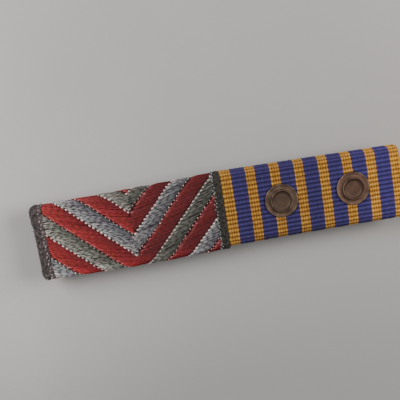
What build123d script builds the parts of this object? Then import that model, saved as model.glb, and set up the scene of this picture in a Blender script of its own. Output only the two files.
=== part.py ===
from build123d import *
import math
import os
from collections import namedtuple

# A ribbon bar that lies on its back. X runs along the bar with the chevron ribbon towards -X,
# +Y is up the face and +Z points out of the face. All sizes are in millimetres.

# Driving dimensions of the two ribbons
striped_width = 32.0       # woven edge to woven edge
chevron_width = 33.1
chevron_end_slant = 0.8    # how far the free end's top stands out past its bottom
bar_height = 13.9          # over the rolled edges, where the ribbons meet
ribbon_wall = 1.0          # on the back
face_crown = 0.25          # how far the middle of the face swells above its edges
flap_gap = 5.0             # bare strip between the two flaps on the back
join_gap = 0.05            # between the two ribbons
fit_gap = 0.05             # between each ribbon and the strip that it wraps

# Driving dimensions of the metal strip and its fittings
strip_height = 10.3
strip_thickness = 1.0
strip_inset = 1.0          # from the ribbons' outer ends to the strip's ends
fitting_drop = 3.0         # how far the fittings stand below the back of the ribbons
fitting_clearance = 0.3    # between the fittings and the flaps
fitting_plate = 0.8        # thickness of the cheeks and of the catch
fitting_corner = 0.35      # radius on the fittings' bent corners
hinge_place = 24.0         # from the join to the hinge rivet, towards -X
hinge_length = 3.4
rivet_diameter = 0.8
catch_place = 22.0         # from the join to the middle of the catch, towards +X
catch_length = 3.0
catch_lip = 0.65           # how far the catch's lip turns up

# Driving dimensions of the pin
pin_wire = 0.8
pin_play = 0.1             # between the pin's eye and the rivet
pin_past_catch = 2.5
pin_point = 4.0            # length of the tapered point
pin_tip_diameter = 0.15

# Driving dimensions of the two studs
stud_place = 10.05         # from the join to the middle of the left stud
stud_spacing = 12.95
stud_diameter = 5.9
stud_edge = 0.35           # height of the stud's outer edge
stud_dish = 0.06           # how far the ring sinks between its edge and the collar
collar_outer = 4.1
collar_height = 0.75
collar_top = 0.16          # width of the collar's rounded top
recess_diameter = 3.6
recess_floor = 0.3         # height of the recess's floor above the stud's underside
shank_diameter = 1.5
seat_depth = 0.15          # how deep each stud sits in the ribbon
seat_clearance = 0.1       # round the stud's edge

# The outline of each ribbon at a few stations. The station is a share of the ribbon's own width,
# from the join outwards. The height, and the drop of the section's middle below the middle of
# the strip, are shares of the bar's height.
Section = namedtuple("Section", "station height drop")
CHEVRON_SECTIONS = (
    Section(station=0.0, height=1.012, drop=0.012),
    Section(station=0.5, height=0.997, drop=0.040),
    Section(station=1.0, height=0.965, drop=0.032),
)
STRIPED_SECTIONS = (
    Section(station=0.0, height=0.99, drop=0.0),
    Section(station=0.5, height=0.970, drop=0.008),
    Section(station=1.0, height=0.965, drop=0.021),
)

# Levels, measured from the middle of the strip before the whole bar is set on its fittings
back_level = strip_thickness / 2 + fit_gap + ribbon_wall
face_level = back_level
foot_level = back_level + fitting_drop
pin_level = back_level + fitting_drop / 2
fitting_width = flap_gap - 2 * fitting_clearance
edge_radius = back_level
inner_radius = strip_thickness / 2 + fit_gap
inner_half = strip_height / 2 + fit_gap

# The chevron ribbon's free end is turned by this angle about the vertical
end_lean = math.atan(chevron_end_slant / bar_height)


def ribbon_outline(top, bottom, plane):
    """The cut through a wrapped ribbon: crowned face, two rolled edges and two flaps on the back."""
    top_edge = top - edge_radius
    bottom_edge = bottom + edge_radius
    flap = flap_gap / 2
    inner_edge = inner_half - inner_radius
    with BuildSketch(plane) as sketch:
        with BuildLine():
            ThreePointArc((bottom_edge, face_level), (0, face_level + face_crown),
                          (top_edge, face_level))
            ThreePointArc((top_edge, face_level), (top, 0), (top_edge, -back_level))
            Polyline((top_edge, -back_level), (flap, -back_level), (flap, -inner_radius),
                     (inner_edge, -inner_radius))
            ThreePointArc((inner_edge, -inner_radius), (inner_half, 0), (inner_edge, inner_radius))
            Line((inner_edge, inner_radius), (-inner_edge, inner_radius))
            ThreePointArc((-inner_edge, inner_radius), (-inner_half, 0), (-inner_edge, -inner_radius))
            Polyline((-inner_edge, -inner_radius), (-flap, -inner_radius), (-flap, -back_level),
                     (bottom_edge, -back_level))
            ThreePointArc((bottom_edge, -back_level), (bottom, 0), (bottom_edge, face_level))
        make_face()
    return sketch.sketch


def cut_plane(x, turn=0.0):
    """An upright plane across the bar at x, turned by some degrees about the vertical."""
    lean = math.radians(turn)
    across = (-math.sin(lean), math.cos(lean), 0)
    along = (math.cos(lean), math.sin(lean), 0)
    return Plane(origin=(x, 0, 0), x_dir=across, z_dir=along)


def wrapped_ribbon(sections, start, width, end_turn=0.0):
    """A ribbon lofted through its sections from start, with its free end turned by end_turn."""
    outlines = []
    for section in sections:
        middle = -bar_height * section.drop
        half = bar_height * section.height / 2
        plane = cut_plane(start + width * section.station, end_turn * section.station)
        outlines.append(ribbon_outline(middle + half, middle - half, plane))
    return loft(outlines)


def chevron_ribbon():
    return wrapped_ribbon(CHEVRON_SECTIONS, 0, -chevron_width, math.degrees(end_lean))


def stud_places():
    """The middles of the two studs along X."""
    return [join_gap + stud_place + i * stud_spacing for i in range(2)]


def striped_ribbon():
    """The striped ribbon, with a round seat pressed in its face and a hole for each stud."""
    ribbon = wrapped_ribbon(STRIPED_SECTIONS, join_gap, striped_width)
    seat_level = face_level + face_crown - seat_depth
    seat_radius = stud_diameter / 2 + seat_clearance
    for x in stud_places():
        seat = Cylinder(seat_radius, face_level, align=(Align.CENTER, Align.CENTER, Align.MIN))
        hole = Cylinder(shank_diameter / 2 + fit_gap, face_level + face_crown,
                        align=(Align.CENTER, Align.CENTER, Align.MIN))
        ribbon -= Pos(x, 0, seat_level) * seat
        ribbon -= Pos(x, 0, 0) * hole
    return ribbon


def strip():
    """The flat metal strip with rounded long edges and a hole for each stud's shank."""
    start = -chevron_width + strip_inset
    length = join_gap + striped_width - strip_inset - start
    with BuildSketch(cut_plane(start)) as section:
        SlotOverall(strip_height, strip_thickness)
    bar = extrude(section.sketch, length)
    for x in stud_places():
        bar -= Pos(x, 0, 0) * Cylinder(shank_diameter / 2 + fit_gap, 2 * strip_thickness)
    return bar


def hinge_fitting():
    """Two cheeks on a base, with the rivet that the pin hangs on."""
    base_top = -strip_thickness / 2
    half = fitting_width / 2
    inner = half - fitting_plate
    base_bottom = base_top - fitting_plate / 2
    with BuildSketch(cut_plane(-hinge_place - hinge_length / 2)) as section:
        with BuildLine():
            Polyline((-half, base_top), (half, base_top), (half, -foot_level), (inner, -foot_level),
                     (inner, base_bottom), (-inner, base_bottom), (-inner, -foot_level),
                     (-half, -foot_level), close=True)
        make_face()
    cheeks = extrude(section.sketch, hinge_length)
    rivet = Pos(-hinge_place, 0, -pin_level) * Rot(90, 0, 0) * Cylinder(
        rivet_diameter / 2, fitting_width - fitting_plate)
    return cheeks + rivet


def catch_fitting():
    """A hook bent from one plate: a post, a foot that the bar rests on and a lip that holds the pin."""
    top = -strip_thickness / 2
    half = fitting_width / 2
    floor = -foot_level + fitting_plate
    base_bottom = top - fitting_plate / 2
    with BuildSketch(cut_plane(catch_place - catch_length / 2)) as section:
        with BuildLine():
            Polyline((-half, top), (half, top), (half, -foot_level), (-half, -foot_level),
                     (-half, floor + catch_lip), (-half + fitting_plate, floor + catch_lip),
                     (-half + fitting_plate, floor), (half - fitting_plate, floor),
                     (half - fitting_plate, base_bottom), (-half, base_bottom), close=True)
        make_face()
        lowest = section.vertices().group_by(Axis.Y)[0]
        fillet(lowest, fitting_corner)
    return extrude(section.sketch, catch_length)


def carrier_bar():
    """The strip with its hinge fitting and its catch soldered on."""
    return strip() + hinge_fitting() + catch_fitting()


def brooch_pin():
    """A straight wire with an eye round the hinge rivet and a tapered point past the catch."""
    wire = pin_wire / 2
    eye_radius = rivet_diameter / 2 + pin_play + wire
    start = -hinge_place + eye_radius
    tip = catch_place + catch_length / 2 + pin_past_catch
    shank_length = tip - pin_point - start
    eye = Pos(-hinge_place, 0, -pin_level) * Rot(90, 0, 0) * Torus(eye_radius, wire)
    from_start = Pos(start, 0, -pin_level) * Rot(0, 90, 0)
    shank = from_start * Cylinder(wire, shank_length, align=(Align.CENTER, Align.CENTER, Align.MIN))
    from_point = Pos(tip - pin_point, 0, -pin_level) * Rot(0, 90, 0)
    point = from_point * Cone(wire, pin_tip_diameter / 2, pin_point,
                              align=(Align.CENTER, Align.CENTER, Align.MIN))
    return eye + shank + point


def stud(x):
    """A round stud: dished ring, collar, flat recess, and a plain shank through ribbon and strip."""
    underside = face_level + face_crown - seat_depth + fit_gap
    rim = stud_diameter / 2
    bevel = stud_edge / 3
    collar = collar_outer / 2
    recess = recess_diameter / 2
    shank = shank_diameter / 2
    shank_end = fit_gap - strip_thickness / 2 - underside
    middle = (rim - bevel + collar) / 2
    with BuildSketch(Plane.XZ) as section:
        with BuildLine():
            Polyline((0, shank_end), (shank, shank_end), (shank, 0), (rim, 0),
                     (rim, stud_edge - bevel))
            ThreePointArc((rim, stud_edge - bevel),
                          (rim - bevel * (1 - math.cos(math.pi / 4)),
                           stud_edge - bevel * (1 - math.sin(math.pi / 4))),
                          (rim - bevel, stud_edge))
            ThreePointArc((rim - bevel, stud_edge), (middle, stud_edge - stud_dish),
                          (collar, stud_edge))
            Line((collar, stud_edge), (recess + collar_top, collar_height - collar_top / 2))
            ThreePointArc((recess + collar_top, collar_height - collar_top / 2),
                          (recess + collar_top / 2, collar_height),
                          (recess, collar_height - collar_top / 2))
            Polyline((recess, collar_height - collar_top / 2), (recess, recess_floor),
                     (0, recess_floor), (0, shank_end))
        make_face()
    return Pos(x, 0, underside) * revolve(section.sketch, Axis.Z)


def build():
    """Every piece by its name, set on its fittings with the bar's middle over the origin."""
    left, right = stud_places()
    pieces = {
        "chevron_ribbon": chevron_ribbon(),
        "striped_ribbon": striped_ribbon(),
        "carrier_bar": carrier_bar(),
        "brooch_pin": brooch_pin(),
        "left_stud": stud(left),
        "right_stud": stud(right),
    }
    box = Compound(children=[piece.solid() for piece in pieces.values()]).bounding_box()
    to_origin = Pos(-box.center().X, -box.center().Y, -box.min.Z)
    return {name: to_origin * piece for name, piece in pieces.items()}


os.makedirs("parts", exist_ok=True)
for name, piece in build().items():
    export_step(piece, f"parts/{name}.step")
    box = piece.bounding_box()
    print(name, round(piece.volume, 2), box.min, box.max)
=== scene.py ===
# %% [markdown]
# # A ribbon bar, seen close up
#
# The object is a short metal strip that carries two woven ribbons side by side. The left ribbon has red,
# silver and grey chevrons between black edges. The right one has gold and blue stripes and two round bronze
# studs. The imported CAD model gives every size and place, so the first step loads it and keeps its box.

import math
from functools import partialmethod
from inspect import signature

import bpy
import numpy as np
from mathutils import Matrix, Vector


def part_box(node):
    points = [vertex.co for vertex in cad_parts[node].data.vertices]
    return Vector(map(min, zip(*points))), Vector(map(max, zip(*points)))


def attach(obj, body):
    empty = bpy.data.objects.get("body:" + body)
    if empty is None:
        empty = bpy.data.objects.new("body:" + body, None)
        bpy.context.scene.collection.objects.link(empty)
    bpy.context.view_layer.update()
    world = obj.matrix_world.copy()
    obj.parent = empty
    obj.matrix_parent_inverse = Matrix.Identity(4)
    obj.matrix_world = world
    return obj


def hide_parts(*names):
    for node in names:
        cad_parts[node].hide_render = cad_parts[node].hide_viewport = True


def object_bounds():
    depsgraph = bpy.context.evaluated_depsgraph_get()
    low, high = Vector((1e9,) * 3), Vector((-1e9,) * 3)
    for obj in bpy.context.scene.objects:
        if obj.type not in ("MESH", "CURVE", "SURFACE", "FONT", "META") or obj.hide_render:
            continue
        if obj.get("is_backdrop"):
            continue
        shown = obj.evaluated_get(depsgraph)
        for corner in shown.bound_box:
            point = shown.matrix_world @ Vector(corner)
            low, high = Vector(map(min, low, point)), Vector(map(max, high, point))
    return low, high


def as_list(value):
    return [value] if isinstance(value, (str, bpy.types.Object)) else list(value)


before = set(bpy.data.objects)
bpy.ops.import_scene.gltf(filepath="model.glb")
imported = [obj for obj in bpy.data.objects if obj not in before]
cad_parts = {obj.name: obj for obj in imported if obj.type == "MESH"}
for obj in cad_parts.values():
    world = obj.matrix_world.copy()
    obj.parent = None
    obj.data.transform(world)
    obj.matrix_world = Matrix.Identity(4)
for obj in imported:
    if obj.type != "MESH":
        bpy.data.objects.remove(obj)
cad_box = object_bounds()
MM = 0.001
print("nodes in the frame:", ", ".join(sorted(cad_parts)))

# %% [markdown]
# ## Where things are
#
# Lengths in this lesson are in millimetres until the last step of each shape, because a thread is easier to
# think of as 0.4 than as 0.0004. The boxes of the CAD nodes give the line where the two ribbons meet and
# the middle of the strip, and every other place is counted from there.

# %% Places read from the frame
def box_mm(node):
    """The lowest and the highest corner of a CAD node, in millimetres."""
    low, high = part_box(node)
    return [value / MM for value in low], [value / MM for value in high]


CHEVRONS, STRIPED = "chevron_ribbon", "striped_ribbon"
chevron_low, chevron_high = box_mm(CHEVRONS)
striped_low, striped_high = box_mm(STRIPED)
strip_low, strip_high = box_mm("carrier_bar")

STRIP_THICKNESS = 1.0
JOIN_X = (chevron_high[0] + striped_low[0]) / 2
MIDDLE_Y = (strip_low[1] + strip_high[1]) / 2
MIDDLE_Z = strip_high[2] - STRIP_THICKNESS / 2
EDGE_RADIUS = MIDDLE_Z - striped_low[2]
FACE_CROWN = striped_high[2] - MIDDLE_Z - EDGE_RADIUS
print(f"join at x {JOIN_X:.2f}, middle at y {MIDDLE_Y:.2f} and z {MIDDLE_Z:.2f}")
print(f"rolled edges of radius {EDGE_RADIUS:.2f}, face crowned by {FACE_CROWN:.2f}")

# %% [markdown]
# ## The camera
#
# The camera stands about fifteen centimetres above the bar, a little to its left and above its middle, and
# is turned so that the bar climbs to the right. A lens of 72 mm on a 36 mm sensor sees what the photograph
# shows. The three directions are columns of the camera's rotation matrix, because a Blender camera looks
# along its own -Z with its own +Y up.

# %% Camera
CAMERA_FROM_JOIN = Vector((-13.81, 24.64, 138.89))
CAMERA_LOOK = Vector((0.0698, -0.1587, -0.9849)).normalized()
CAMERA_UP = Vector((0.1683, 0.9750, -0.1452))
CAMERA_LENS = 72.0

join_middle = Vector((JOIN_X, MIDDLE_Y, MIDDLE_Z))
camera_right = CAMERA_LOOK.cross(CAMERA_UP).normalized()
camera_up = camera_right.cross(CAMERA_LOOK)
camera_turn = Matrix((camera_right, camera_up, -CAMERA_LOOK)).transposed()


def show(name, data):
    """A new object in the scene."""
    thing = bpy.data.objects.new(name, data)
    bpy.context.scene.collection.objects.link(thing)
    return thing


camera_data = bpy.data.cameras.new("photo_camera")
camera_data.lens = CAMERA_LENS
camera_data.clip_start = 10 * MM
camera = show("photo_camera", camera_data)
camera.matrix_world = Matrix.Translation((join_middle + CAMERA_FROM_JOIN) * MM) @ camera_turn.to_4x4()
bpy.context.scene.camera = camera
print("camera stands", round(CAMERA_FROM_JOIN.length), "mm from the join")

# %% [markdown]
# ## Formulas as nodes
#
# Cloth follows rules: a thread rises and falls once a rib, and every rib is as long as the next. Geometry
# Nodes can hold such rules, but each sign of a formula takes a Math node. Two small classes let the formula
# be written as a formula. A Flow is a number on its way through the tree, and adding or multiplying Flows
# places the Math nodes. A Recipe is the tree that is being written.

# %% A number on its way through a node tree
class Flow:
    """A value in a node tree. Sums and products of Flows add their own Math nodes."""

    def __init__(self, recipe, socket):
        self.recipe = recipe
        self.socket = socket

    def math(self, operation, *others):
        node = self.recipe.node("ShaderNodeMath", operation=operation)
        for value, socket in zip((self, *others), node.inputs):
            self.recipe.feed(socket, value)
        return Flow(self.recipe, node.outputs["Value"])

    __add__ = __radd__ = partialmethod(math, "ADD")
    __sub__ = partialmethod(math, "SUBTRACT")
    __mul__ = __rmul__ = partialmethod(math, "MULTIPLY")
    __truediv__ = partialmethod(math, "DIVIDE")
    __pow__ = partialmethod(math, "POWER")
    __neg__ = partialmethod(math, "MULTIPLY", -1.0)
    __abs__ = partialmethod(math, "ABSOLUTE")
    at_least = partialmethod(math, "MAXIMUM")
    at_most = partialmethod(math, "MINIMUM")
    less_than = partialmethod(math, "LESS_THAN")
    greater_than = partialmethod(math, "GREATER_THAN")
    sine = partialmethod(math, "SINE")
    cosine = partialmethod(math, "COSINE")
    tangent = partialmethod(math, "TANGENT")
    power_of_e = partialmethod(math, "EXPONENT")
    root = partialmethod(math, "SQRT")
    floor = partialmethod(math, "FLOOR")
    fraction = partialmethod(math, "FRACT")

    def __rsub__(self, other):
        return -self + other

    def ramp(self, low, high):
        """0 below low, 1 above high, and a smooth slope between them."""
        node = self.recipe.node("ShaderNodeMapRange", interpolation_type="SMOOTHSTEP")
        self.recipe.feed(node.inputs["Value"], self)
        self.recipe.feed(node.inputs["From Min"], low)
        self.recipe.feed(node.inputs["From Max"], high)
        return Flow(self.recipe, node.outputs["Result"])


# %% A node tree that is being written
class Recipe:
    """Writes a node tree: its named sizes, its nodes and its result."""

    def __init__(self, name, kind="GeometryNodeTree"):
        self.tree = bpy.data.node_groups.new(name, kind)
        self.start = self.tree.nodes.new("NodeGroupInput")
        self.end = self.tree.nodes.new("NodeGroupOutput")

    def feed(self, socket, value):
        """Links a Flow or a socket, or sets a plain value."""
        if isinstance(value, Flow):
            value = value.socket
        if isinstance(value, bpy.types.NodeSocket):
            self.tree.links.new(value, socket)
        else:
            socket.default_value = value

    def node(self, kind, feeds=(), **settings):
        """Adds a node, sets it up, and feeds its named inputs."""
        node = self.tree.nodes.new(kind)
        for name, value in settings.items():
            setattr(node, name, value)
        for name, value in dict(feeds).items():
            self.feed(next(s for s in node.inputs if s.name == name and s.enabled), value)
        return node

    def result(self, kind, feeds=(), output=None, **settings):
        """Adds a node and gives one of its outputs, the first one unless named."""
        node = self.node(kind, feeds, **settings)
        shown = [s for s in node.outputs if s.enabled and output in (None, s.name)]
        return Flow(self, shown[0])

    def sizes(self, *names):
        """Named sizes that whoever uses the tree sets."""
        for name in names:
            self.tree.interface.new_socket(name, in_out="INPUT", socket_type="NodeSocketFloat")
        return [Flow(self, self.start.outputs[name]) for name in names]

    def give(self, name, flow, socket="NodeSocketFloat"):
        """A named result of the tree."""
        self.tree.interface.new_socket(name, in_out="OUTPUT", socket_type=socket)
        self.feed(self.end.inputs[name], flow)

    def vector(self, x, y, z):
        return self.result("ShaderNodeCombineXYZ", {"X": x, "Y": y, "Z": z})

    def parts(self, vector):
        """The x, y and z of a vector."""
        node = self.node("ShaderNodeSeparateXYZ", {"Vector": vector})
        return [Flow(self, node.outputs[axis]) for axis in "XYZ"]

    def noise(self, vector, scale, detail=2.0):
        """Smooth noise from 0 to 1."""
        feeds = {"Vector": vector, "Scale": scale, "Detail": detail}
        return self.result("ShaderNodeTexNoise", feeds, "Fac")

    def chance(self, number, seed):
        """A fixed random value from 0 to 1 for each number."""
        return self.result("FunctionNodeRandomValue", {"ID": number, "Seed": seed}, data_type="FLOAT")

    def keep(self, geometry, **flows):
        """Keeps values under their names on every point, for later nodes and for the materials."""
        for name, flow in flows.items():
            feeds = {"Geometry": geometry, "Name": name, "Value": flow}
            geometry = self.result("GeometryNodeStoreNamedAttribute", feeds, data_type="FLOAT")
        return geometry

    def kept(self, *names):
        """Values that were kept under these names, one or several, in a shape's tree or a shader's."""
        if self.tree.type == "GEOMETRY":
            kind = "GeometryNodeInputNamedAttribute"
            flows = [self.result(kind, {"Name": name}, data_type="FLOAT") for name in names]
        else:
            flows = [self.result("ShaderNodeAttribute", output="Fac", attribute_name=n) for n in names]
        return flows if len(flows) > 1 else flows[0]

    def place(self):
        """In a shader's tree: the place on the finished bar, in millimetres."""
        metres = self.result("ShaderNodeTexCoord", output="Object")
        return self.result("ShaderNodeVectorMath", {"Vector": metres, "Scale": 1 / MM}, operation="SCALE")


# %% [markdown]
# ## The way round the bar
#
# A ribbon is woven flat and then wrapped round the strip: over the face, round the top and bottom edges and
# on to the back. So each thread is laid out on a flat cloth first. There, x is the place across the
# ribbon, v is the way along it with 0 in the middle of the face, and h is the height over the cloth. One
# node group then bends that flat cloth round the bar. Everything that passes through it follows the same
# crown, the same rolled edges and the same flaps, so threads, beads and hairs can't drift off the cloth.
#
# The edges aren't quite straight, as on any ribbon that is pulled tight by hand. Each edge is a gentle curve
# y = a + b x + c x x, read here from the solid.

# %% Read a ribbon's edges
STRIP_SHADOW = 0.6   # the ribbon's inner wall lies nearer than this to the strip's edge
LEVEL_BAND = 0.25    # the outermost line of a rolled edge is this near to the middle level


def edge_curve(node, side):
    """The numbers a, b and c of a ribbon's top edge (side 1) or bottom edge (side -1)."""
    points = np.array([vertex.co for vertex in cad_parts[node].data.vertices]) / MM
    reach = side * (points[:, 1] - MIDDLE_Y)
    strip_reach = strip_high[1] - MIDDLE_Y
    outer = (abs(points[:, 2] - MIDDLE_Z) < LEVEL_BAND) & (reach > strip_reach + STRIP_SHADOW)
    c, b, a = np.polyfit(points[outer, 0], reach[outer] - EDGE_RADIUS, 2)
    return float(a), float(b), float(c)


OUTLINES = {node: (edge_curve(node, 1), edge_curve(node, -1)) for node in (CHEVRONS, STRIPED)}
for node, (top, bottom) in OUTLINES.items():
    print(f"{node} rolls over {top[0]:.2f} above and {bottom[0]:.2f} below the middle, at x = 0")

# %% The group that wraps flat cloth round the bar
FLAP_HALF_GAP = 2.5
LOWER_CORNER = 0.65  # radius of a lower corner, where an upper one is 1
HALF_LENGTH = 13.1   # of the flat cloth, from the middle of the face to the end of a flap


def write_wrap():
    """Takes x, v and h on the flat cloth and gives the place in the scene, in metres."""
    recipe = Recipe("wrap round the bar")
    x, v, h, slant = recipe.sizes("Across", "Along", "Height", "End slant")
    ribbon_width, corner = recipe.sizes("Ribbon width", "Corner radius")
    edges = {}
    for which in ("Top", "Bottom"):
        a, b, c = recipe.sizes(*(f"{which} {letter}" for letter in "abc"))
        edges[which] = a + b * x + c * x * x
    upper = v.greater_than(0.0)
    side = upper * 2.0 - 1.0
    edge = edges["Top"] * upper + edges["Bottom"] * (1.0 - upper)
    way = abs(v)
    on_face = way.at_most(edge)
    turned = ((way - edge) / EDGE_RADIUS).at_least(0.0).at_most(math.pi)
    flap_start = edge + math.pi * EDGE_RADIUS
    flap_way = (way - flap_start).at_least(0.0)
    on_back = flap_way * (edge - FLAP_HALF_GAP) / (HALF_LENGTH - flap_start)
    radius = h + EDGE_RADIUS
    crown = (1.0 - (on_face / edge) ** 2.0) * FACE_CROWN
    y = side * (on_face + radius * turned.sine() - on_back)
    z = radius * turned.cosine() + crown
    share = (x - JOIN_X) / ribbon_width
    lean = slant * y * share * share
    corner = corner * (LOWER_CORNER + upper * (1.0 - LOWER_CORNER))
    into_corner = ((abs(y) - edge - EDGE_RADIUS + corner) / corner).at_least(0.0).at_most(0.98)
    pull = (1.0 - (1.0 - into_corner * into_corner).root()) * corner
    x = x - lean - pull * share * (share * share) ** 3.0
    place = recipe.vector(x * MM, (y + MIDDLE_Y) * MM, (z + MIDDLE_Z) * MM)
    recipe.give("Place", place, "NodeSocketVector")
    return recipe.tree


WRAP = write_wrap()
print("the wrap is written with", len(WRAP.nodes), "nodes")

# %% Use the wrap on one of the two ribbons
SLANTED_END = 0.4    # the left end isn't square, so its corner lies this far outside the cloth's mean width
CHEVRON_WIDTH = JOIN_X - (chevron_low[0] + SLANTED_END)
STRIPED_WIDTH = 32.0
END_SLANT = 0.35 / 13.9   # how far the left end leans over the bar's height
WRAP_FEEDS = {
    CHEVRONS: {"End slant": END_SLANT, "Ribbon width": CHEVRON_WIDTH, "Corner radius": 1.05},
    STRIPED: {"End slant": 0.0, "Ribbon width": STRIPED_WIDTH, "Corner radius": 0.8},
}
for node, feeds in WRAP_FEEDS.items():
    for side, numbers in zip(("Top", "Bottom"), OUTLINES[node]):
        feeds.update({f"{side} {letter}": number for letter, number in zip("abc", numbers)})


def wrapped(recipe, node, x, v, h):
    """Places a point of the flat cloth of one ribbon round the bar."""
    feeds = {"Across": x, "Along": v, "Height": h, **WRAP_FEEDS[node]}
    return recipe.result("GeometryNodeGroup", feeds, node_tree=WRAP)


# %% [markdown]
# ## From a recipe to a piece
#
# Every thread in this lesson starts as the same plain tube, one unit long. A recipe makes as many copies as
# the cloth has threads, one on another, and numbers them. It then moves each point by a formula of three
# things: the number of its copy, how far along the tube it is, and where on the tube's round cut it is.
# Each tree ends in Realize Instances and Set Material, so the result is plain mesh. Its named inputs are the
# keywords of the function that writes it.

# %% Numbered copies of a tube
class Threads:
    """Numbered copies of one tube in a recipe, with the fields that a formula needs."""

    def __init__(self, recipe, points, sides=6, steps=6):
        if isinstance(points, int):
            points = numbered_points(recipe, points)
        line = recipe.result("GeometryNodeCurvePrimitiveLine", {"End": (0, 1, 0)})
        line = recipe.result("GeometryNodeResampleCurve", {"Curve": line, "Count": steps + 1})
        ring = recipe.result("GeometryNodeCurvePrimitiveCircle", {"Resolution": sides, "Radius": 1.0})
        feeds = {"Curve": line, "Profile Curve": ring, "Fill Caps": True}
        tube = recipe.result("GeometryNodeCurveToMesh", feeds)
        copies = recipe.result("GeometryNodeInstanceOnPoints", {"Points": points, "Instance": tube})
        self.recipe = recipe
        self.mesh = recipe.result("GeometryNodeRealizeInstances", {"Geometry": copies})
        side, along, up = recipe.parts(recipe.result("GeometryNodeInputPosition"))
        self.mesh = recipe.keep(self.mesh, ring_side=side, ring_up=up, along=along)
        self.side, self.up, self.along, self.number = recipe.kept("ring_side", "ring_up", "along", "number")

    def chance(self, seed):
        """A fixed random value from 0 to 1 for each thread."""
        return self.recipe.chance(self.number, seed)

    def stray(self, seed, width):
        """A fixed random value for each thread, from a span of this width with 0 in its middle."""
        return (self.chance(seed) - 0.5) * width

    def lay(self, ribbon, place, material, **flows):
        """Keeps what the finish needs, lays every point on a ribbon and ends the tree."""
        lay(self.recipe, self.recipe.keep(self.mesh, **flows), ribbon, place, material)


def numbered_points(recipe, count):
    """Points that carry their own number."""
    points = recipe.result("GeometryNodePoints", {"Count": count})
    return recipe.keep(points, number=recipe.result("GeometryNodeInputIndex"))


def lay(recipe, geometry, ribbon, place, material):
    """The last nodes of every tree: the place on the bar, smooth faces, real meshes and the material."""
    feeds = {"Geometry": geometry, "Position": wrapped(recipe, ribbon, *place)}
    moved = recipe.result("GeometryNodeSetPosition", feeds)
    smooth = recipe.result("GeometryNodeSetShadeSmooth", {"Geometry": moved})
    real = recipe.result("GeometryNodeRealizeInstances", {"Geometry": smooth})
    done = recipe.result("GeometryNodeSetMaterial", {"Geometry": real, "Material": material})
    recipe.give("Geometry", done, "NodeSocketGeometry")


# %% Turn a tree into a plain mesh
def grow(name, write, *fixed, **sizes):
    """Has a tree written with these sizes as its named inputs, runs it and keeps the result as plain mesh."""
    recipe = Recipe(write.__name__.replace("_", " "))
    write(recipe, *fixed, **dict(zip(sizes, recipe.sizes(*sizes))))
    starter = show(name + "_start", bpy.data.meshes.new(name + "_start"))
    modifier = starter.modifiers.new("recipe", "NODES")
    modifier.node_group = recipe.tree
    for socket in recipe.tree.interface.items_tree:
        if socket.in_out == "INPUT":
            modifier[socket.identifier] = sizes[socket.name]
    result = starter.evaluated_get(bpy.context.evaluated_depsgraph_get())
    mesh = bpy.data.meshes.new_from_object(result)
    mesh.name = name
    bpy.data.objects.remove(starter)
    print(f"{name}: {sum(len(face.vertices) - 2 for face in mesh.polygons)} triangles")
    return show(name, mesh)


# %% [markdown]
# ## Colours and finishes
#
# A finish is written the same way as a shape: as a formula. Surface is a Recipe that writes a material, so
# the same sums and products set its colours. Values that the shapes kept under a name, such as how much
# painted light a thread gets where it rides high, come back here under the same name.

# %% A material that is being written
class Surface(Recipe):
    """A material: its shader, and a formula for each thing that varies over it."""

    def __init__(self, name, rough, metal=0.0, sheen=0.0, specular=0.35):
        self.material = bpy.data.materials.new(name)
        self.material.use_nodes = True
        self.tree = self.material.node_tree
        self.shader = self.tree.nodes["Principled BSDF"]
        plain = {"Roughness": rough, "Metallic": metal, "Sheen Weight": sheen, "Specular IOR Level": specular}
        for name, value in plain.items():
            self.feed(self.shader.inputs[name], value)

    def group(self, tree, **feeds):
        """Uses a shader group and gives its results by name."""
        node = self.node("ShaderNodeGroup", feeds, node_tree=tree)
        return {socket.name: Flow(self, socket) for socket in node.outputs}

    def mix(self, first, second, factor, **settings):
        """The first colour where the factor is 0 and the second where it is 1."""
        first, second = ((*c, 1.0) if isinstance(c, tuple) else c for c in (first, second))
        feeds = {"A": first, "B": second, "Factor": factor}
        return self.result("ShaderNodeMix", feeds, data_type="RGBA", **settings)

    def finish(self, colour, height, depth_mm, rough=None):
        """Feeds the shader: a colour, a bump and where asked a changing roughness."""
        self.feed(self.shader.inputs["Base Color"], colour)
        if rough is not None:
            self.feed(self.shader.inputs["Roughness"], rough)
        feeds = {"Height": height, "Distance": depth_mm * MM, "Strength": 1.0}
        self.feed(self.shader.inputs["Normal"], self.result("ShaderNodeBump", feeds))
        return self.material


# %% [markdown]
# ### Dyed thread
#
# Dyed rayon is a little glossy and never one flat colour. Each thread has fine fibres along it, each one took
# the dye a little differently, and painted shade darkens a thread where it dives under its neighbour. One
# shader group gives the fibres to every thread on the bar. It reads the numbers that the threads carry, so
# the fibres follow each thread wherever it goes.
#
# A second group paints light and shade along a loose thread in short strokes, as slack silk catches the
# light, and gives the strokes a bump. A third paints shade in the bar's middle and light towards its two
# ends, and paints the chevron ribbon's lower edge lighter.

# %% The groups for fibres, strokes and painted light along the bar
def shader_group(write):
    """Makes a shader group of the function that writes it. Its arguments are the group's named inputs."""
    recipe = Recipe(write.__name__.replace("_", " "), "ShaderNodeTree")
    write(recipe, *recipe.sizes(*list(signature(write).parameters)[1:]))
    return recipe.tree


@shader_group
def fibres_in_a_thread(recipe, fineness, stretch):
    """Fine fibres along a thread: a mask from 0 to 1, which is also a height."""
    side, up, way, number = recipe.kept("ring_side", "ring_up", "way", "number")
    own_slice = number * 1.37   # of the noise, so that no two threads have the same fibres
    place = recipe.vector(side * fineness + own_slice, up * fineness, way * stretch)
    recipe.give("Fibre", recipe.noise(place, 1.0, 3.0).ramp(0.3, 0.7))


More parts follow.
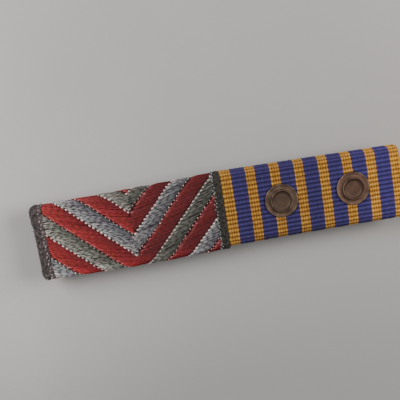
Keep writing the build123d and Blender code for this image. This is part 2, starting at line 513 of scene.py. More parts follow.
@shader_group
def strokes_along_a_thread(recipe, length):
    """Strokes of painted light along a loose thread, also a bump: 1 on a stroke, 0 in the dips between."""
    way, phase = recipe.kept("way", "phase")
    own_length = length * (0.75 + phase * 0.5)
    recipe.give("Stroke", abs(((way / own_length + phase * 5.0) * math.pi).sine()))


@shader_group
def dulled_by_handling(recipe, dull, fresh, rubbed):
    """Painted shade in the bar's middle, painted light towards its ends and along the lower left edge."""
    x, y = recipe.parts(recipe.place())[:2]
    # painted shade: dull is the level in the bar's middle; the ends and the lower left edge get painted light
    ends = (-x).ramp(15.0, 31.0) + x.ramp(15.0, 31.0)
    edge = (-y).ramp(4.6, 7.0) * ((-x).ramp(0.0, 8.0) - x.ramp(0.0, 8.0) * 0.4)
    recipe.give("Fresh", dull + ends * fresh + edge * rubbed)


# %% A finish for dyed thread
CAST_STRENGTH = 0.55


def dyed_thread(
    name, light, deep, far=None, casts=(), tip=None, rough=0.55, sheen=0.05, stretch=1.0, strokes=None,
    shade=0.5, handled=True,
):
    """Painted light on its crests, painted shade where it dives and towards a far colour along its way.
    Cast with two other tints in patches, with a painted highlight at its tip and painted light in strokes."""
    surface = Surface(name, rough, sheen=sheen, specular=0.25)
    height = fibre = surface.group(fibres_in_a_thread, fineness=3.0, stretch=stretch)["Fibre"]
    lift = surface.kept("lift")
    if strokes:
        length, depth = strokes
        stroke = surface.group(strokes_along_a_thread, length=length)["Stroke"]
        # painted light and shade along the strokes, besides their bump
        lift = lift * (1.0 - depth + stroke * depth)
        height = fibre * 0.3 + stroke * depth * 3.0
    # painted shade: the lit colour turns to the far colour along a float, where it turns down from the light
    lit = surface.mix(light, far or light, surface.kept("gone"))
    if casts:
        patch = surface.noise(surface.place(), 1.4, 1.0)
        for cast, where in zip(casts, (patch.ramp(0.52, 0.64), 1.0 - patch.ramp(0.36, 0.48))):
            lit = surface.mix(lit, cast, where * CAST_STRENGTH)
    dull = surface.mix(lit, deep, shade)
    toned = surface.mix(dull, lit, surface.kept("tone") * 0.6 + fibre * 0.4)
    # painted shade: where the painted light is low the colour goes to deep
    colour = surface.mix(deep, toned, lift)
    # painted highlight at the rounded start of a float
    if tip:
        colour = surface.mix(colour, tip, surface.kept("tip"))
    # painted shade and light along the bar, multiplied into the colour
    if handled:
        fresh = surface.group(dulled_by_handling, dull=0.86, fresh=0.36, rubbed=0.8)["Fresh"]
        grey = surface.vector(fresh, fresh, fresh)
        colour = surface.mix(colour, grey, 1.0, blend_type="MULTIPLY", clamp_result=True)
    return surface.finish(colour, height, 0.02)


GOLD_THREAD = dyed_thread("gold_thread", (0.70, 0.375, 0.046), (0.17, 0.054, 0.006), rough=0.35, shade=0.8)
BLUE_THREAD = dyed_thread("blue_thread", (0.0435, 0.0303, 0.175), (0.0115, 0.008, 0.043), shade=0.7)
print("two dyes for the striped ribbon, with fibres from", len(fibres_in_a_thread.nodes), "nodes")


# %% [markdown]
# ## The striped ribbon
#
# The stripes are warp threads that run over the bar from edge to edge. A thick hidden thread crosses under
# them at every rib, so each warp thread swells over it and dives beside it. Seen from above, the gold
# stripes are rows of small beads and the finer blue threads join into ridges. The tubes are laid along v and
# moved up and down by the cosine of the rib, which is quicker and evener than weaving real crossings.

# %% Warp threads over ribs
RIB_PITCH = 0.79
GOLD_WIDTH = 1.79
BLUE_WIDTH = 2.52
FIRST_STRIPE = striped_low[0] + 0.11
STUDS = ("left_stud", "right_stud")
STUD_PLACES = [(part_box(node)[0][0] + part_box(node)[1][0]) / 2 / MM for node in STUDS]
STUD_RADIUS = 2.95
PRESSED = 0.08       # how deep a stud presses the cloth under it
WANDER = 0.12        # how far a stripe strays along its way


def warp_threads(
    recipe, threads, material, per_stripe, first, period, pitch, half_width, half_thick, depth, sharp, shaded,
    sides=8, steps_a_rib=8,
):
    """Threads that run along v and swell over each rib."""
    yarn = Threads(recipe, threads, sides, round(2 * HALF_LENGTH / RIB_PITCH) * steps_a_rib)
    number = yarn.number
    stripe = ((number + 0.5) / per_stripe).floor()
    place = first + stripe * period + (number - stripe * per_stripe + 0.5) * pitch
    v = (yarn.along * 2.0 - 1.0) * HALF_LENGTH
    rib = v / RIB_PITCH
    crest = abs((rib * math.pi).cosine()) ** sharp
    which_rib = (rib + 0.5).floor()
    uneven = recipe.chance(number * 101.0 + which_rib, 3) - 0.5
    tone = recipe.chance(number * 7.0 + which_rib, 5) * 0.5 + yarn.chance(6) * 0.5
    under_stud = 0.0
    for centre in STUD_PLACES:
        away = ((place - centre) ** 2.0 + v * v).root()
        under_stud = (1.0 - away.ramp(STUD_RADIUS - 0.1, STUD_RADIUS + 0.2)) + under_stud
    top = (crest - 1.0) * depth + uneven * 0.05 - under_stud * PRESSED
    wander = (recipe.noise(recipe.vector(stripe * 9.0, v * 0.5, 0.0), 1.0) - 0.5) * WANDER
    h = top - half_thick + yarn.up * half_thick
    width = half_width * (crest * 0.15 + 0.85)
    shift = (recipe.chance(number * 31.0 + which_rib, 8) - 0.5) * 0.04
    x = place + yarn.side * width + shift + wander
    # painted light: lighter on each rib's crest, and on the thread's upper side by the shaded share
    lift = crest * (1.0 - shaded + shaded * yarn.up.at_least(0.0))
    yarn.lay(STRIPED, (x, v, h), material, lift=lift, way=v, tone=tone)


STRIPE_PERIOD = GOLD_WIDTH + BLUE_WIDTH
# 8 gold stripes of 4 threads and 7 blue ones of 6
gold = grow(
    "gold_stripes", warp_threads, 8 * 4, GOLD_THREAD, per_stripe=4.0, first=FIRST_STRIPE,
    period=STRIPE_PERIOD, pitch=GOLD_WIDTH / 4, half_width=0.25, half_thick=0.19, depth=0.22, sharp=1.0,
    shaded=0.5,
)
blue = grow(
    "blue_stripes", warp_threads, 7 * 6, BLUE_THREAD, per_stripe=6.0, first=FIRST_STRIPE + GOLD_WIDTH,
    period=STRIPE_PERIOD, pitch=BLUE_WIDTH / 6, half_width=0.32, half_thick=0.17, depth=0.2, sharp=1.1,
    shaded=0.1,
)

# %% [markdown]
# ### The cloth under the stripes
#
# Between the threads one sees a little of the cloth they are woven into. It is a closed slab, 0.6 thick,
# bent round the bar by the same group. Its colour changes with the stripes: brown under the gold ones and
# navy under the blue ones, with a shade in the valley of each rib.

# %% Ground cloth
def ground_cloth(recipe, ribbon, material, left, right, outer, thick):
    """A closed slab of cloth wrapped round the bar, that remembers its flat x and v."""
    feeds = {"Vertices X": 34, "Vertices Y": 131, "Vertices Z": 2, "Size": (1, 1, 1)}
    slab = recipe.result("GeometryNodeMeshCube", feeds)
    a, b, c = recipe.parts(recipe.result("GeometryNodeInputPosition"))
    x = left + (a + 0.5) * (right - left)
    v = b * (2 * HALF_LENGTH)
    h = outer + (c - 0.5) * thick
    slab = recipe.keep(slab, across=x, way=v)
    lay(recipe, slab, ribbon, (*recipe.kept("across", "way"), h), material)


@shader_group
def stripes_and_ribs(recipe, first, period, width, pitch):
    """Where the stripes and the ribs of a cloth lie: two masks from 0 to 1."""
    across, way = recipe.kept("across", "way")
    part = ((across - first) / period).fraction() * period
    recipe.give("Stripe", part.less_than(width))
    recipe.give("Rib", abs((way / pitch * math.pi).cosine()))


ground = Surface("striped_ground", 0.85, sheen=0.1)
stripes = {"first": FIRST_STRIPE, "period": STRIPE_PERIOD, "width": GOLD_WIDTH}
masks = ground.group(stripes_and_ribs, pitch=RIB_PITCH, **stripes)
shaded = masks["Rib"] * 0.6 + 0.2
gold_side = ground.mix((0.20, 0.07, 0.007), (0.40, 0.17, 0.013), shaded)
blue_side = ground.mix((0.012, 0.009, 0.048), (0.028, 0.021, 0.115), shaded)
STRIPED_GROUND = ground.finish(ground.mix(blue_side, gold_side, masks["Stripe"]), masks["Rib"], 0.1)
striped_ground = grow(
    "striped_ground", ground_cloth, STRIPED, STRIPED_GROUND, left=striped_low[0] + 0.15,
    right=striped_high[0] - 0.15, outer=-0.36, thick=0.6,
)

# %% [markdown]
# ### Where the hidden thread turns back
#
# The thick thread inside the ribs goes from side to side, and at the ribbon's edge it turns round the last
# warp thread. These turns are what makes the end of the bar a little scalloped.

# %% Turns at a ribbon's edge
def edge_turns(recipe, ribbon, material, edge, out, reach, thick, pitch):
    """One round turn at each rib, standing out from the edge of the ribbon."""
    count = 2 * round(HALF_LENGTH / RIB_PITCH) - 1
    yarn = Threads(recipe, count)
    angle = (yarn.along - 0.5) * math.pi
    away = reach * (0.75 + yarn.chance(41) * 0.5) + yarn.side * thick
    v = (yarn.number - (count - 1) / 2) * pitch + yarn.up * pitch * 0.5 + yarn.stray(42, 0.08)
    x = edge + out * away * angle.cosine()
    h = away * angle.sine() * 1.1 - 0.42
    # painted light: lighter where the turn stands furthest out from the edge
    lift = angle.cosine() * 0.5 + 0.5
    yarn.lay(ribbon, (x, v, h), material, lift=lift, way=angle, tone=yarn.chance(43))


striped_turns = [
    grow(
        f"striped_turns_{side}", edge_turns, STRIPED, GOLD_THREAD, edge=edge, out=out, reach=0.22,
        thick=0.12, pitch=RIB_PITCH,
    )
    for side, edge, out in (("left", striped_low[0] + 0.25, -1.0), ("right", striped_high[0] - 0.2, 1.0))
]

# %% [markdown]
# ## The chevron ribbon
#
# Its pattern threads float across the ribbon, row after row, and each row steps a little sideways from the
# last, so the bands climb to both sides of the middle line. A float starts steeply at its left end and sinks
# slowly to its right end, where the next band starts. Every row is laid twice, once for each arm of the
# chevrons, and ends raggedly at the line where the arms meet, so they lock into each other.

# %% Sizes of the chevrons
ROW_PITCH = 0.55
APEX_FROM_JOIN = 16.53
APEX_X = JOIN_X - APEX_FROM_JOIN
LEFT_SELVAGE = 1.75
RIGHT_SELVAGE = 1.45
BAND_HEIGHT = 3.83
RED_TOP = 2.2 + 2 * BAND_HEIGHT      # of the highest red band at the middle line, above the face's middle
SILVER_TOP = -1.62 + 4 * BAND_HEIGHT
GREY_TOP = SILVER_TOP - 2 * BAND_HEIGHT
PALE_HEIGHT = BAND_HEIGHT - 0.1
PALE_GAP = 0.12
ROWS = 62
LEVEL_REACH = 1.5    # a float runs level within about this distance of the middle line
ARMS = {
    "left": {"arm": -1.0, "slope": 0.945, "low": LEFT_SELVAGE + APEX_FROM_JOIN - CHEVRON_WIDTH, "high": 0.0},
    "right": {"arm": 1.0, "slope": 1.07, "low": 0.0, "high": APEX_FROM_JOIN - RIGHT_SELVAGE},
}


# %% Where the rows of a band start
class Rows:
    """One point for each thread of each row of each band of one arm, with where it starts and ends."""

    def __init__(self, recipe, threads, bands, arm, slope, low, high, lean, top, height, period, gap, early):
        self.recipe = recipe
        points = numbered_points(recipe, ROWS * bands * threads)
        number = recipe.kept("number")
        group = ((number + 0.5) / threads).floor()
        thread = number - group * threads
        row = ((group + 0.5) / bands).floor()
        band = group - row * bands
        v = (row + (thread + 0.5) / threads - ROWS / 2) * ROW_PITCH
        edge = top - band * period - height * (1.0 - arm) / 2.0
        x = arm * (v - edge) / slope - early
        ragged = recipe.chance(number, 13) * 0.7 - 0.15
        high = high + ragged * (1.0 - arm) / 2.0
        low = low - ragged * (1.0 + arm) / 2.0 - recipe.chance(number, 14) * 0.3
        own_lean = lean * (1.0 + (recipe.chance(number, 11) - 0.5) * 0.08)
        full = (height - (gap - early) * slope) / (slope - own_lean)
        points = recipe.keep(
            points, x_start=x, v_start=v, begin=(low - x).at_least(0.0), end=full.at_most(high - x),
            full=full, thread=thread, arm=arm, lean=own_lean,
        )
        begin, end = recipe.kept("begin", "end")
        ends = abs(self.row_v(begin)).at_least(abs(self.row_v(end)))
        short = (end - begin).less_than(0.15)
        past = ends.greater_than(HALF_LENGTH - 0.1)
        gone = {"Geometry": points, "Selection": short.at_least(past)}
        self.points = recipe.result("GeometryNodeDeleteGeometry", gone, domain="POINT")

    def row_v(self, way):
        """The way round the bar of a thread that has gone so far to the right from its start."""
        x_start, v_start, arm, lean = self.recipe.kept("x_start", "v_start", "arm", "lean")
        near = (-abs(x_start + way) / LEVEL_REACH).power_of_e() - (-abs(x_start) / LEVEL_REACH).power_of_e()
        return v_start + arm * lean * (way + arm * LEVEL_REACH * near)


# %% [markdown]
# ### Floats
#
# Red floats lie close together, like satin. The silver and grey ones are looser: they get short strokes of
# painted light with painted shade between. Each float is a tube of four sides that bows a little over its
# neighbours. Its strokes are far finer than its few steps, so the finish paints them, with a bump.

# %% Floats
def floats(
    recipe, threads, bands, material, half_width, half_thick, uneven, sink, ragged, turned, apart, climb,
    steps=12, sides=4, **row_sizes,
):
    """Threads that float across their band, steep at the left end and sinking to the right."""
    rows = Rows(recipe, threads, bands, **row_sizes)
    yarn = Threads(recipe, rows.points, sides, steps)
    begin, end, full, thread, x_start = recipe.kept("begin", "end", "full", "thread", "x_start")
    way = begin + yarn.along * (end - begin)
    off_centre = (thread + 0.5) / threads * 2.0 - 1.0
    jitter = yarn.stray(21, 1.0)
    uncut = 1.0 - (begin * 10.0).at_most(1.0)
    late = (off_centre * off_centre * 0.3 + yarn.chance(25) * ragged) * (0.25 + uncut * 0.75)
    own_way = way - begin
    steep = climb * (0.5 + uncut * 0.5)
    rise = (1.0 - (1.0 - (own_way - late) / steep).at_least(0.0) ** 2.0).at_least(0.0).root()
    fall = (way / full).at_least(0.0) ** 1.6
    wave = (way * 2.1 + yarn.number * 2.4).sine() * 0.04 * uneven
    wave = wave + (way / full * math.pi).sine() * yarn.stray(24, 0.3) * uneven
    h = (rise - 1.0) * 0.3 - fall * sink - off_centre * off_centre * 0.05 + jitter * 0.1 * uneven
    end_taper = (yarn.along * steps).at_most(1.0) * ((1.0 - yarn.along) * steps).at_most(1.0)
    end_taper = end_taper.at_least(0.03).root()
    x = x_start + way + APEX_X
    v = rows.row_v(way) + wave + jitter * 0.08 * uneven - yarn.side * half_width * end_taper
    h = h - half_thick + yarn.up * half_thick * end_taper
    # painted light: lighter where a float rises, darker as it sinks and on the outer threads of a row
    lift = rise * (1.0 - fall * 0.5) * (1.0 - off_centre * off_centre * apart)
    # painted shade: darker on arms whose threads are turned from the light, and on each thread's lower side
    lift = lift * turned * (0.6 + 0.4 * yarn.up.at_least(0.0))
    # painted highlight where an uncut float rises at its left end
    tip = uncut * (1.0 - (own_way - late) / 0.55).at_least(0.0) * rise * yarn.chance(26) ** 2.0
    # gone carries the painted shade towards a float's right end
    looks = {"phase": yarn.chance(22), "tone": yarn.chance(23), "gone": own_way / full, "tip": tip}
    yarn.lay(CHEVRONS, (x, v, h), material, lift=lift, way=way, **looks)


# far colours: painted shade at a float's far end; on the pale threads also a cooler tint
RED_THREAD = dyed_thread(
    "red_thread", (0.49, 0.042, 0.038), far=(0.25, 0.0185, 0.0225), deep=(0.048, 0.0043, 0.0064),
    casts=((0.48, 0.06, 0.032), (0.51, 0.03, 0.062)), tip=(0.86, 0.25, 0.27), rough=0.5, sheen=0.0,
    stretch=0.8, strokes=(1.1, 0.68), shade=0.75,
)
SILVER_THREAD = dyed_thread(
    "silver_thread", (0.88, 0.84, 0.82), far=(0.27, 0.265, 0.32), deep=(0.028, 0.025, 0.031),
    casts=((0.36, 0.50, 0.45), (0.50, 0.42, 0.52)), rough=0.4, strokes=(1.25, 0.95), shade=0.85,
)
GREY_THREAD = dyed_thread(
    "grey_thread", (0.90, 0.84, 0.77), far=(0.28, 0.29, 0.25), deep=(0.024, 0.024, 0.019),
    casts=((0.26, 0.36, 0.26), (0.50, 0.38, 0.36)), rough=0.4, strokes=(1.25, 0.95), shade=0.85,
)
# finish, number of bands, top of the highest one, height of a band and distance from band to band
BANDS = {
    "red": (RED_THREAD, 6, RED_TOP, BAND_HEIGHT, 2 * BAND_HEIGHT),
    "silver": (SILVER_THREAD, 4, SILVER_TOP, PALE_HEIGHT, 4 * BAND_HEIGHT),
    "grey": (GREY_THREAD, 4, GREY_TOP, PALE_HEIGHT, 4 * BAND_HEIGHT),
}
SATIN = {
    "half_width": 0.15, "half_thick": 0.1, "ragged": 0.5, "climb": 0.2, "uneven": 0.35, "sink": 0.1,
    "early": 0.2, "gap": 0.0, "apart": 0.2,
}
LOOSE = {
    "half_width": 0.13, "half_thick": 0.1, "ragged": 0.1, "climb": 0.3, "uneven": 0.8, "sink": 0.12,
    "early": 0.0, "gap": PALE_GAP, "apart": 0.5,
}
# how much the threads lean, and how much of their lit colour they keep: painted shade where turned from the
# light
LIE = {
    "left": {"red": (0.3, 1.0), "silver": (0.16, 1.0), "grey": (0.06, 0.88)},
    "right": {"red": (0.25, 0.51), "silver": (0.3, 0.83), "grey": (0.34, 0.445)},
}
woven = []
for side, arm in ARMS.items():
    for name, (material, bands, top, height, period) in BANDS.items():
        threads = 3
        lean, turned = LIE[side][name]
        sizes = {**arm, **(SATIN if name == "red" else LOOSE), "lean": lean, "turned": turned}
        if side == "right":
            sizes["apart"] += 0.4
            sizes["climb"] += 0.12
            if name != "red":
                threads = 2
                sizes.update(half_width=0.18, uneven=0.65 if name == "silver" else 1.1)
        elif name == "red":
            sizes.update(early=0.1, gap=-0.12)
        sizes.update(top=top, height=height, period=period)
        woven.append(grow(f"{name}_floats_{side}", floats, threads, bands, material, **sizes))

# %% [markdown]
# ### Beads of white thread
#
# Along the left edge of each pale band a white thread comes up once a row and makes a small round bead. Along
# the right edge there is only a dot of it, because it goes down again there. The beads of the grey bands
# are a little duller, and in the right arm they are set back from the edge and the dots are tinged with red.

# %% Beads along the bands
def beads(
    recipe, bands, material, length, width, offset, level, tilt, set_back=0.0, on_right=0.0, **row_sizes
):
    """A short round bead of thread at the start or at the end of each row."""
    rows = Rows(recipe, 1, bands, **row_sizes)
    begin, end, full, x_start = recipe.kept("begin", "end", "full", "x_start")
    kept = begin.less_than(0.01) * (1.0 - on_right)
    kept = kept + (full - end).less_than(0.01) * on_right
    feeds = {"Geometry": rows.points, "Selection": 1.0 - kept}
    yarn = Threads(recipe, recipe.result("GeometryNodeDeleteGeometry", feeds, domain="POINT"))
    start = full * on_right
    band = yarn.number - ((yarn.number + 0.5) / bands).floor() * bands
    grey = (band / 2.0).fraction() * 2.0
    size = 0.8 + yarn.chance(33) * 0.4
    swell = (yarn.along * math.pi).sine().at_least(0.02) ** 0.6 * size
    along = (yarn.along * 2.0 - 1.0) * length * size
    x = x_start + start + offset + grey * set_back + along + yarn.stray(32, 0.1) + APEX_X
    v = rows.row_v(start) - yarn.side * width * swell + yarn.stray(31, 0.1) + along * tilt
    h = level - width * 0.8 + yarn.up * width * 0.8 * swell + yarn.stray(34, 0.08)
    # painted light: lighter on the upper side of a bead
    lift = (yarn.up + 1.0) / 2.0
    tone = yarn.chance(35) * (1.0 - grey * 0.75)
    yarn.lay(CHEVRONS, (x, v, h), material, lift=lift, way=along, tone=tone)


WHITE_THREAD = dyed_thread(
    "white_thread", (0.99, 0.79, 0.75), (0.16, 0.09, 0.08), rough=0.4, shade=0.6, handled=False
)
DULL_THREAD = dyed_thread("dull_thread", (0.70, 0.66, 0.60), (0.08, 0.075, 0.06), shade=0.9)
PINK_THREAD = dyed_thread("pink_thread", (0.97, 0.68, 0.64), (0.16, 0.05, 0.05), shade=0.8, handled=False)
PALE_BANDS = {"top": SILVER_TOP, "height": PALE_HEIGHT, "period": 2 * BAND_HEIGHT, "gap": PALE_GAP}
BIG_BEAD = {
    "left": {"length": 0.2, "width": 0.212, "level": 0.06, "offset": 0.02},
    "right": {"length": 0.22, "width": 0.152, "level": 0.06, "offset": 0.17, "set_back": 0.14},
}
SMALL_BEAD = {"length": 0.11, "width": 0.14, "level": 0.1, "on_right": 1.0}
for side, small, offset, tilt in (("left", DULL_THREAD, 0.04, -0.5), ("right", PINK_THREAD, -0.04, 0.2)):
    sizes = {**ARMS[side], **PALE_BANDS, "early": 0.0, "lean": LIE[side]["silver"][0], "tilt": tilt}
    woven += [
        grow(f"white_beads_{side}", beads, 7, WHITE_THREAD, **sizes, **BIG_BEAD[side]),
        grow(f"small_beads_{side}", beads, 7, small, offset=offset, **sizes, **SMALL_BEAD),
    ]

# %% [markdown]
# ### The dark selvages
#
# A selvage is the firm edge of a ribbon, where the weft turns back. Here it is dark grey yarn that runs round
# the bar with small loops caught in it. The outer strands wander, stand out near the top and pull in over the
# rolled edges, so the end of the bar looks soft and not cut.

# %% Strands of a selvage
def selvage_strands(recipe, strands, material, outer, out, width, bulge, waist):
    """Soft strands along v that wander sideways."""
    yarn = Threads(recipe, strands, sides=10, steps=230)
    number = yarn.number
    v = (yarn.along * 2.0 - 1.0) * HALF_LENGTH
    wander = recipe.noise(recipe.vector(number * 0.7, v * 0.8, 3.0), 1.0) - 0.5
    lumps = recipe.noise(recipe.vector(number * 5.3, v * 1.9, 7.0), 1.0, 1.0) - 0.5
    nearness = 1.0 - number / strands
    standing = (0.6 + v.ramp(2.6, 3.6) * 0.4) * (1.0 - v.ramp(7.0, 8.6)) * (1.0 - (-v).ramp(4.5, 7.5)) * bulge
    slim = (1.0 - (v / 4.0) ** 2.0) * waist
    place = (number + 0.5) * (width / strands) - (standing - slim.at_least(-waist)) * nearness
    x = outer - out * place + wander * 0.35 * nearness + yarn.side * 0.2 * (1.0 + lumps * 0.8)
    h = yarn.up * 0.19 * (1.0 + lumps) - 0.2 + lumps * 0.35
    # painted light: lighter on a strand's upper side and on raised lumps, whose noise also varies the tone
    lift = (0.45 + lumps * 2.2) * (0.4 + 0.6 * yarn.up.at_least(0.0)) + 0.2
    yarn.lay(CHEVRONS, (x, v, h), material, lift=lift, way=v, tone=yarn.chance(51))


# %% Loops caught in a selvage
def selvage_loops(recipe, count, material, column, pitch, length, tilt, zigzag, radius, scatter):
    """Small slanted loops in a column along v."""
    yarn = Threads(recipe, count)
    turn = tilt * (0.7 + yarn.chance(61) * 0.6)
    odd = (yarn.number / 2.0).fraction() * 4.0 - 1.0
    s = yarn.along * 2.0 - 1.0
    along = s * length * (0.6 + yarn.chance(62) * 0.7)
    thick = radius * (1.0 - s * s).at_least(0.05).root()
    x = column + yarn.stray(64, scatter) + along + odd * zigzag + yarn.side * thick * turn.sine()
    v = (yarn.number - (count - 1) / 2) * pitch + yarn.stray(65, scatter)
    v = v + along * turn.tangent() - yarn.side * thick * turn.cosine()
    h = (1.0 - s * s) * 0.2 - 0.14 + yarn.up * thick
    # painted light: lighter on the upper side of a loop
    lift = (yarn.up + 1.0) * 0.5
    yarn.lay(CHEVRONS, (x, v, h), material, lift=lift, way=along, tone=yarn.chance(63))


# one dark yarn: painted lighter on the left selvage and its hairs, painted darker on the right one
CHARCOAL_THREAD = dyed_thread(
    "charcoal_thread", (0.105, 0.085, 0.085), (0.012, 0.010, 0.010), rough=0.8, stretch=0.6
)
BLACK_THREAD = dyed_thread(
    "black_thread", (0.060, 0.055, 0.047), (0.007, 0.0065, 0.0055), rough=0.8, stretch=0.6
)
LOOP_THREAD = dyed_thread("loop_thread", (0.36, 0.27, 0.285), (0.05, 0.035, 0.035))
PALE_LOOP_THREAD = dyed_thread("pale_loop_thread", (0.42, 0.45, 0.45), (0.03, 0.034, 0.03))
LEFT_EDGE = JOIN_X - CHEVRON_WIDTH
woven += [
    grow(
        "left_selvage", selvage_strands, 6, CHARCOAL_THREAD, outer=LEFT_EDGE, out=-1.0, width=LEFT_SELVAGE,
        bulge=0.2, waist=0.1,
    ),
    grow(
        "right_selvage", selvage_strands, 5, BLACK_THREAD, outer=JOIN_X - 0.05, out=1.0, width=RIGHT_SELVAGE,
        bulge=0.0, waist=0.0,
    ),
    grow(
        "left_loops", selvage_loops, 38, LOOP_THREAD, column=LEFT_EDGE + 1.3, pitch=0.64, length=0.12,
        tilt=1.0, zigzag=0.1, scatter=0.08, radius=0.12,
    ),
    grow(
        "right_loops", selvage_loops, 56, PALE_LOOP_THREAD, column=JOIN_X - RIGHT_SELVAGE - 0.02, pitch=0.45,
        length=0.14, tilt=-0.9, zigzag=0.1, scatter=0.28, radius=0.09,
    ),
]

# %% [markdown]
# ### Loose hairs
#
# Woven edges are never clean. Fine hairs of yarn stand out of the selvage and of the striped ribbon's cut
# end, and a few lie on the face. They are only a few hundredths of a millimetre thick, but without them the
# outline wouldn't look like cloth.

# %% Hairs
def loose_hairs(recipe, count, ribbon, material, edge, out, scatter, length, stand, radius):
    """Thin hairs that stand out of the cloth near a line along v."""
    yarn = Threads(recipe, count, sides=4)
    where, back, longer, turned, bent, raised = (yarn.chance(seed) for seed in range(71, 77))
    v_start = (where - 0.5) * 1.6 * HALF_LENGTH
    x_start = edge - out * back * scatter
    own_length = length * (0.3 + longer * 0.7)
    turn = (turned - 0.5) * 2.6 + yarn.along * (bent - 0.5) * 1.6
    way = yarn.along * own_length
    thick = radius * (1.0 - yarn.along * 0.7)
    x = x_start + out * way * turn.cosine() + yarn.side * thick * turn.sine()
    v = v_start + way * turn.sine() - out * yarn.side * thick * turn.cosine()
    h = (yarn.along * math.pi * 0.8).sine() * stand * raised - 0.05 + yarn.up * thick
    # painted light: lighter towards a hair's free end
    lift = yarn.along * 0.4 + 0.6
    yarn.lay(ribbon, (x, v, h), material, lift=lift, way=way, tone=longer)


left_hairs = grow(
    "left_hairs", loose_hairs, 240, CHEVRONS, CHARCOAL_THREAD, edge=LEFT_EDGE, out=-1.0, scatter=0.5,
    length=0.6, stand=0.3, radius=0.022,
)
woven.append(left_hairs)
right_hairs = grow(
    "right_hairs", loose_hairs, 160, STRIPED, GOLD_THREAD, edge=striped_high[0], out=1.0, scatter=0.4,
    length=0.5, stand=0.2, radius=0.022,
)

# %% The chevron ribbon's ground
dark_ground = Surface("dark_ground", 0.85)
weft = dark_ground.group(stripes_and_ribs, period=1.0, pitch=ROW_PITCH)["Rib"]
# painted shade: darker in the hollows between the weft rows
hollow = dark_ground.mix((0.016, 0.009, 0.009), (0.07, 0.027, 0.027), weft * 0.8)
selvage = 1.0 - dark_ground.kept("across").ramp(LEFT_EDGE + 1.7, LEFT_EDGE + 2.3)
DARK_GROUND = dark_ground.finish(dark_ground.mix(hollow, (0.07, 0.058, 0.058), selvage), weft, 0.08)
chevron_ground = grow(
    "chevron_ground", ground_cloth, CHEVRONS, DARK_GROUND, left=LEFT_EDGE + 0.25, right=JOIN_X - 0.15,
    outer=-0.42, thick=0.5,
)

# %% [markdown]
# Each ribbon was one flat length of cloth before it was folded round the strip. Its ground and the threads,
# turns and hairs on it are hung under the root body, and the ribbon's CAD node is hidden.

# %% Each ribbon's pieces under the root
striped = [gold, blue, *striped_turns, right_hairs]
for node, slot, ground_piece, with_pieces, width in (
    (STRIPED, "striped_cloth", striped_ground, striped, STRIPED_WIDTH * MM),
    (CHEVRONS, "chevron_cloth", chevron_ground, woven, CHEVRON_WIDTH * MM),
):
    for piece in (ground_piece, *with_pieces):
        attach(piece, "root")
    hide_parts(node)
    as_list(with_pieces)
    print(node, "was cut to", round(width / MM, 1), "by", round(2 * HALF_LENGTH, 1), "mm")

# %% [markdown]
# ## Metal
#
# The studs are turned from brass that was darkened to a brown bronze. The thin bright rings at the rim and
# along the collar are worn edges with painted highlights, and painted shade darkens the recess.
# The edges of a turned part are all at fixed distances from its middle, so that distance is the only thing
# the finish has to know. Noise breaks the rings up, because wear is never even. The tool left a soft slope
# between the recess's floor and its wall, which is too shallow to show from the side, so it is only shaded.

# %% Rings of a turned part
@shader_group
def rings_of_a_turned_part(recipe, middle_x, middle_y):
    """The distance from a turned part's middle in millimetres, patches of wear and the tool's grain."""
    place = recipe.place()
    x, y, z = recipe.parts(place)
    away = ((x - middle_x) ** 2.0 + (y - middle_y) ** 2.0).root()
    recipe.give("Distance", away)
    recipe.give("Patches", recipe.noise(place, 0.8, 3.0).ramp(0.35, 0.65))
    recipe.give("Grain", recipe.noise(recipe.vector(away * 9.0, z * 9.0, 0.0), 1.0))


# %% Bronze for the two studs
def ring(distance, at, half_width):
    """1 on a ring at this distance and 0 beside it."""
    return (1.0 - ((distance - at) / half_width) ** 2.0).at_least(0.0)


RIM, DISH, COLLAR, RECESS = 2.9, 2.5, 1.9, 1.66   # distances of a stud's edges from its middle
BROWNS = {
    "left_stud": ((0.066, 0.040, 0.028), (0.090, 0.054, 0.036)),
    "right_stud": ((0.081, 0.043, 0.029), (0.109, 0.058, 0.039)),
}


def bronze(node, middle_x):
    """Dark bronze with worn edges, painted highlights on its rings and painted shade in its recess."""
    surface = Surface(node + "_bronze", 0.5, metal=0.6)
    rings = surface.group(rings_of_a_turned_part, middle_x=middle_x, middle_y=MIDDLE_Y)
    distance, patches = rings["Distance"], rings["Patches"]
    # worn edges with painted highlights: bright rings at the rim and along the collar
    worn = ring(distance, RIM, 0.12) * 0.6 + ring(distance, COLLAR, 0.09) * 0.5
    worn = ((worn + ring(distance, DISH, 0.35) * 0.15) * (0.1 + patches * 0.6)).at_most(1.0)
    # painted shade: darker over the recess's floor and along the foot of its wall
    dirt = (1.0 - distance.ramp(1.2, 1.85)) * 0.2 + ring(distance, RECESS, 0.2) * 0.45
    dark, light = BROWNS[node]
    brown = surface.mix(dark, light, patches)
    bright = surface.mix(brown, (0.42, 0.30, 0.21), worn)
    colour = surface.mix(bright, (0.045, 0.035, 0.028), dirt)
    rough = 0.55 - worn * 0.2 + dirt * 0.3
    height = distance.ramp(1.15, 1.8) ** 1.3 + rings["Grain"] * 0.03
    return surface.finish(colour, height, 0.22, rough)


def wear(node, material):
    """Gives a CAD piece its finish."""
    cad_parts[node].data.materials.clear()
    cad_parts[node].data.materials.append(material)


for node, middle_x in zip(STUDS, STUD_PLACES):
    wear(node, bronze(node, middle_x))


# %% [markdown]
# The strip and its fittings are plain brass that has gone dull, darker in spots and lighter where it was
# rubbed. The pin is drawn steel wire with faint lines along its length, left by the drawing.

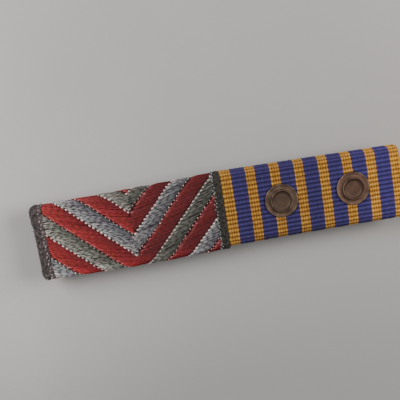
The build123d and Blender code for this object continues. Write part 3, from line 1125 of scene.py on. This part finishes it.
# %% Brass and steel
def dull_brass():
    """Brass with faint drawn lines and dark spots."""
    surface = Surface("dull_brass", 0.4, metal=1.0)
    place = surface.place()
    spots = surface.noise(place, 0.35, 4.0).ramp(0.4, 0.7)
    x, y, z = surface.parts(place)
    drawn = surface.noise(surface.vector(x * 0.3, y * 12.0, z * 12.0), 1.0)
    brass = surface.mix((0.62, 0.44, 0.20), (0.50, 0.36, 0.17), drawn)
    colour = surface.mix(brass, (0.24, 0.16, 0.09), spots * 0.75)
    return surface.finish(colour, drawn, 0.004, 0.3 + spots * 0.3)


def drawn_steel():
    """Steel with fine lines along the wire."""
    surface = Surface("drawn_steel", 0.3, metal=1.0)
    x, y, z = surface.parts(surface.place())
    drawn = surface.noise(surface.vector(x * 0.25, y * 20.0, z * 20.0), 1.0)
    colour = surface.mix((0.60, 0.60, 0.59), (0.42, 0.42, 0.42), drawn)
    return surface.finish(colour, drawn, 0.005, 0.25 + drawn * 0.2)


wear("carrier_bar", dull_brass())
wear("brooch_pin", drawn_steel())
print("brass for the strip and steel for the pin")

# %% [markdown]
# ## Table and light
#
# The bar lies on a pale grey table with a faint mottle. Painted shade darkens the table to the right, round
# the bar and towards the front. Most of the light is soft and comes from the upper left, as from a window, so
# the table is brighter there and the bar's shadow falls below it. A weaker light from the right lifts that
# side of the studs.

# %% Table
TABLE_HALF_SIDE = 0.6   # in metres
table_mesh = bpy.data.meshes.new("table")
corners = [(-1, -1), (1, -1), (1, 1), (-1, 1)]
corners = [(x * TABLE_HALF_SIDE, y * TABLE_HALF_SIDE, 0) for x, y in corners]
table_mesh.from_pydata(corners, [], [(0, 1, 2, 3)])
paint = Surface("pale_table", 0.75)
mottle = paint.noise(paint.place(), 0.05, 4.0).ramp(0.3, 0.7)
fine = paint.noise(paint.place(), 1.6, 3.0)
x, y = paint.parts(paint.place())[:2]
# painted shade: darker towards the lower right
shade = (x - y * 0.7).ramp(-35.0, 60.0)
# painted shadow: darker round the bar and towards the front
middle = (1.0 - ((x - 2.0) / 40.0) ** 2.0).at_least(0.0) * 0.5 + (-y).ramp(14.0, 40.0) * 0.6
tone = paint.mix((0.45, 0.431, 0.426), (0.475, 0.46, 0.455), mottle)
tone = paint.mix(tone, (0.34, 0.325, 0.315), shade)
tone = paint.mix(tone, (0.285, 0.285, 0.28), middle)
table_mesh.materials.append(paint.finish(tone, fine, 0.02))
table = show("table", table_mesh)
table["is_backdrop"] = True


# %% Soft light
def soft_light(name, place, size, power, colour):
    """A square light that faces the bar."""
    data = bpy.data.lights.new(name, "AREA")
    data.energy = power
    data.size = size
    data.color = colour
    lamp = show(name, data)
    lamp.location = place
    lamp.rotation_euler = Vector(place).to_track_quat("Z", "Y").to_euler()


soft_light("window", (-0.21, 0.17, 0.27), 0.2, 1.55, (1.0, 0.98, 0.96))
soft_light("lamp", (0.25, 0.06, 0.26), 0.2, 1.05, (1.0, 0.97, 0.93))
world = bpy.data.worlds.new("room")
world.use_nodes = True
world.node_tree.nodes["Background"].inputs["Color"].default_value = (0.95, 0.97, 1.0, 1)
world.node_tree.nodes["Background"].inputs["Strength"].default_value = 0.2
bpy.context.scene.world = world
print("a window at the upper left, a lamp at the right and a dim room")

# %% [markdown]
# ## Finish
#
# The box of the CAD model and the box of what is shown are printed side by side, so that anyone can see
# whether the threads and hairs have made the bar bigger than it is.

# %% Boxes
sizes = {"cad": [list(corner) for corner in cad_box], "visual": [list(corner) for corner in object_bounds()]}
for name, (low, high) in sizes.items():
    print(name, "box in mm:", [round((b - a) / MM, 2) for a, b in zip(low, high)])
